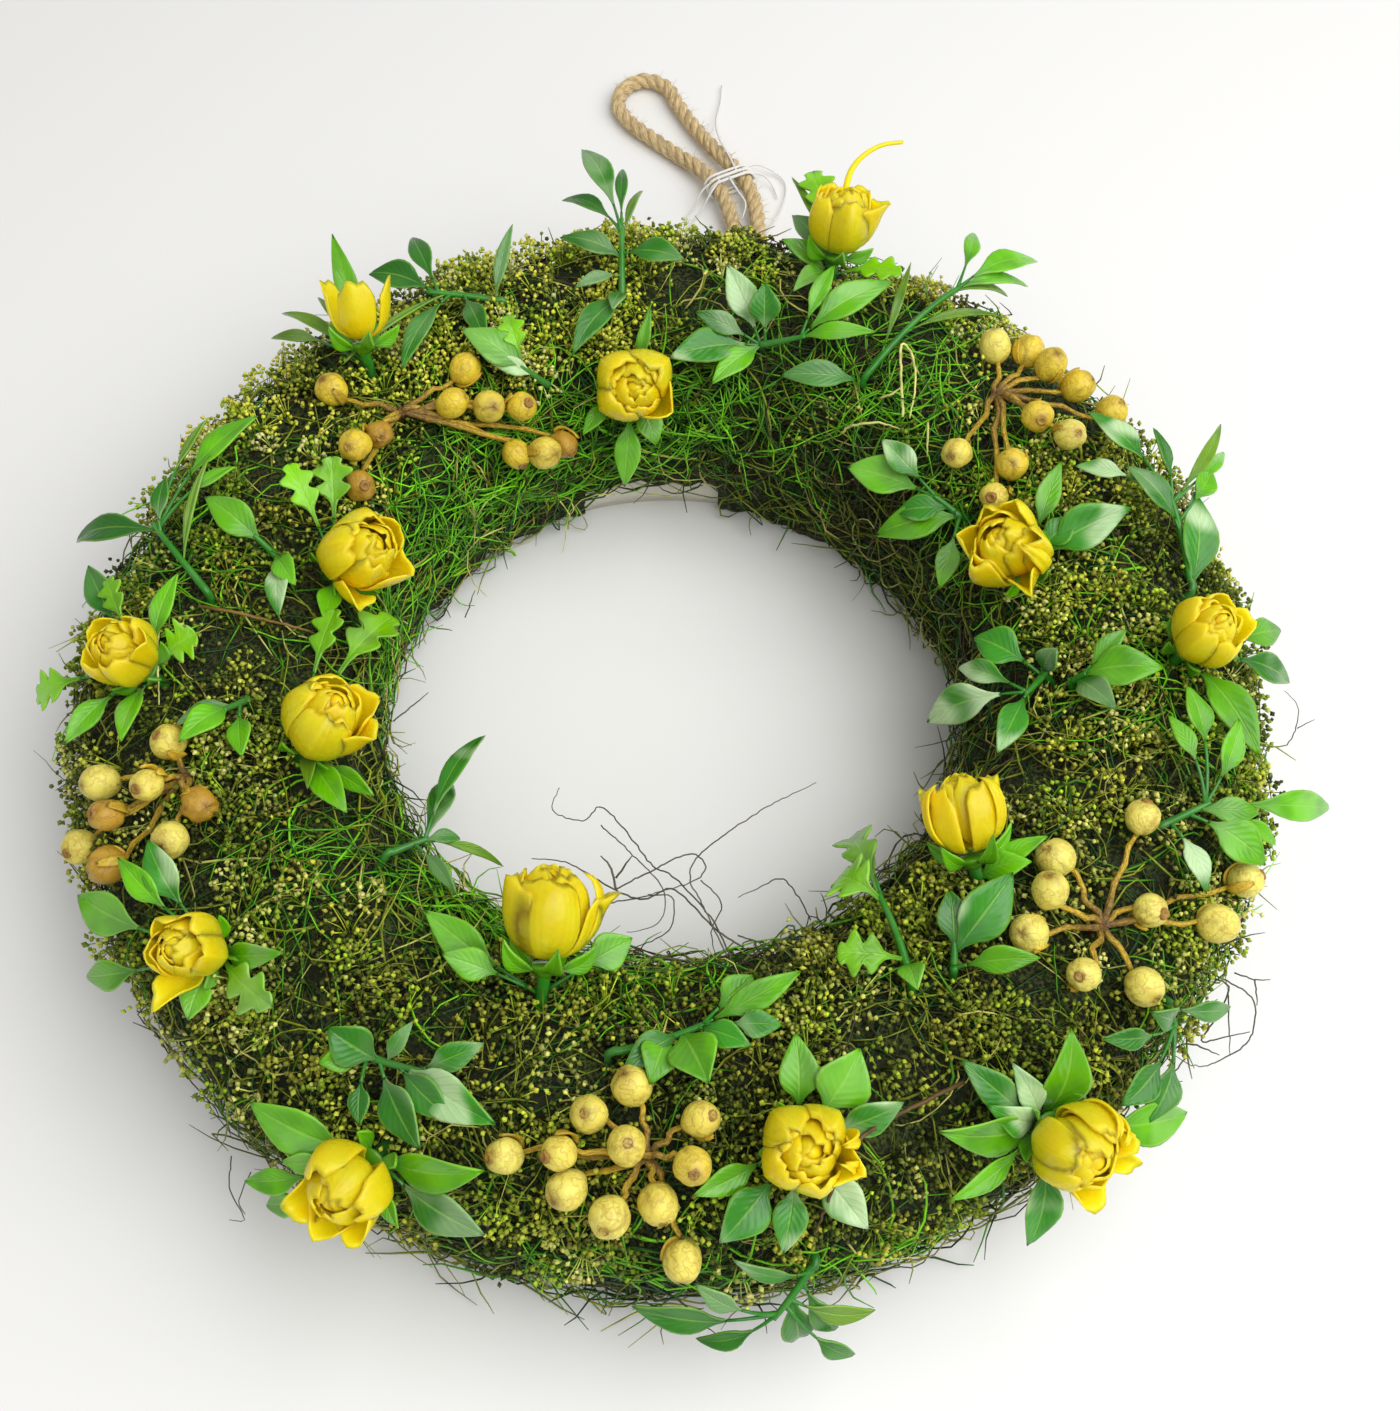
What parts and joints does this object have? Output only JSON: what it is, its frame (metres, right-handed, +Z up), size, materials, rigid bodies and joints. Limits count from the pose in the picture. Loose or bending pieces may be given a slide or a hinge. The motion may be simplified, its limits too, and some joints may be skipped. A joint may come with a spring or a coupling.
{
  "type": "dried grass wreath",
  "caption": "Small table or wall wreath of dyed dried grass and seed heads, set with plastic roses, leaf sprays and dried berries, with a jute hanging loop.",
  "frame": {"origin": "centre of the wreath's outline on the surface that its flat back lies on", "axes": "+Z up out of the wreath's face, +Y towards the hanging loop at its top, +X to the right as seen from the front"},
  "size_m": [0.2628, 0.3507, 0.0718],
  "materials": {
    "foam": "matt pale foam",
    "grass": "dyed green curly dried grass",
    "seed": "olive and ochre dried seed heads on fine stalks",
    "rose": "waxy yellow moulded plastic",
    "leaf": "glossy green moulded plastic with veins",
    "berry": "dried yellow berries, creased, on brown stalks",
    "jute": "twisted brown jute",
    "thread": "thin white cotton thread"
  },
  "bodies": {
    "root": {"base_ring": "foam", "grass_wrap": "grass", "seed_mat_1": "seed", "seed_mat_2": "seed", "seed_mat_3": "seed", "rose_bloom_01": "rose", "rose_bloom_02": "rose", "rose_bloom_03": "rose", "rose_bloom_04": "rose", "rose_bloom_05": "rose", "rose_bloom_06": "rose", "rose_bloom_07": "rose", "rose_bloom_08": "rose", "rose_bloom_09": "rose", "rose_bloom_10": "rose", "rose_bloom_11": "rose", "rose_bloom_12": "rose", "rose_bloom_13": "rose", "rose_bloom_14": "rose", "rose_pick_01": "leaf", "rose_pick_02": "leaf", "rose_pick_03": "leaf", "rose_pick_04": "leaf", "rose_pick_05": "leaf", "rose_pick_06": "leaf", "rose_pick_07": "leaf", "rose_pick_08": "leaf", "rose_pick_09": "leaf", "rose_pick_10": "leaf", "rose_pick_11": "leaf", "rose_pick_12": "leaf", "rose_pick_13": "leaf", "rose_pick_14": "leaf", "spray_01": "leaf", "spray_02": "leaf", "spray_03": "leaf", "spray_04": "leaf", "spray_05": "leaf", "spray_06": "leaf", "spray_07": "leaf", "spray_08": "leaf", "spray_09": "leaf", "spray_10": "leaf", "spray_11": "leaf", "spray_12": "leaf", "spray_13": "leaf", "spray_14": "leaf", "spray_15": "leaf", "spray_16": "leaf", "spray_17": "leaf", "spray_18": "leaf", "spray_19": "leaf", "spray_20": "leaf", "berries_a": "berry", "berries_b": "berry", "berries_c": "berry", "berries_d": "berry", "berries_e": "berry", "hanging_loop": "jute", "tie_thread": "thread"}
  },
  "joints": []
}
